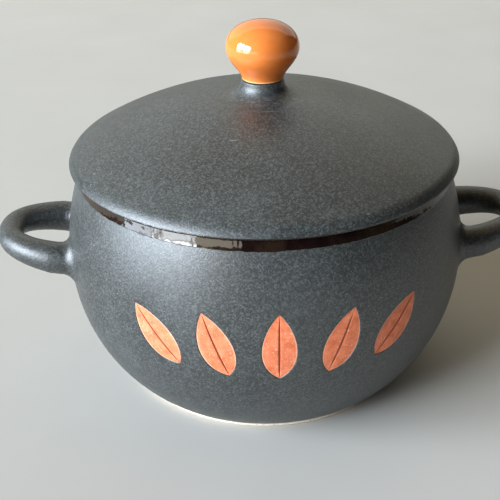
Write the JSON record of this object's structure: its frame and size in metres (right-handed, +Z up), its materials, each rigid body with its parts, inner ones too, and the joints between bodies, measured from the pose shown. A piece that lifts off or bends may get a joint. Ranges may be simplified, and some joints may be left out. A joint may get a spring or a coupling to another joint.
{
  "type": "lidded soup bowl",
  "caption": "Round-bellied stoneware soup bowl in matte black glaze, with loop side handles, orange leaf inlays on the front and a loose domed lid lifted by an orange ball knob.",
  "frame": {"origin": "centre of the foot ring, on the surface the bowl stands on", "axes": "+Z up along the bowl's axis, +X along the handles, -Y towards the decorated front"},
  "size_m": [0.2008, 0.1478, 0.1347],
  "materials": {
    "matte_black_glaze": "satin matte, finely speckled",
    "orange_gloss_glaze": "gloss",
    "orange_inlay_glaze": "matte"
  },
  "bodies": {
    "bowl": {"bowl": "matte_black_glaze", "handle_left": "matte_black_glaze", "handle_right": "matte_black_glaze", "leaf_inlay_1": "orange_inlay_glaze", "leaf_inlay_2": "orange_inlay_glaze", "leaf_inlay_3": "orange_inlay_glaze", "leaf_inlay_4": "orange_inlay_glaze", "leaf_inlay_5": "orange_inlay_glaze"},
    "lid": {"lid": "matte_black_glaze", "knob": "orange_gloss_glaze"}
  },
  "joints": [
    {"name": "lid_lift", "type": "slide", "parent": "bowl", "child": "lid", "axis": [0, 0, 1], "range_m": [0, 0.12]}
  ]
}
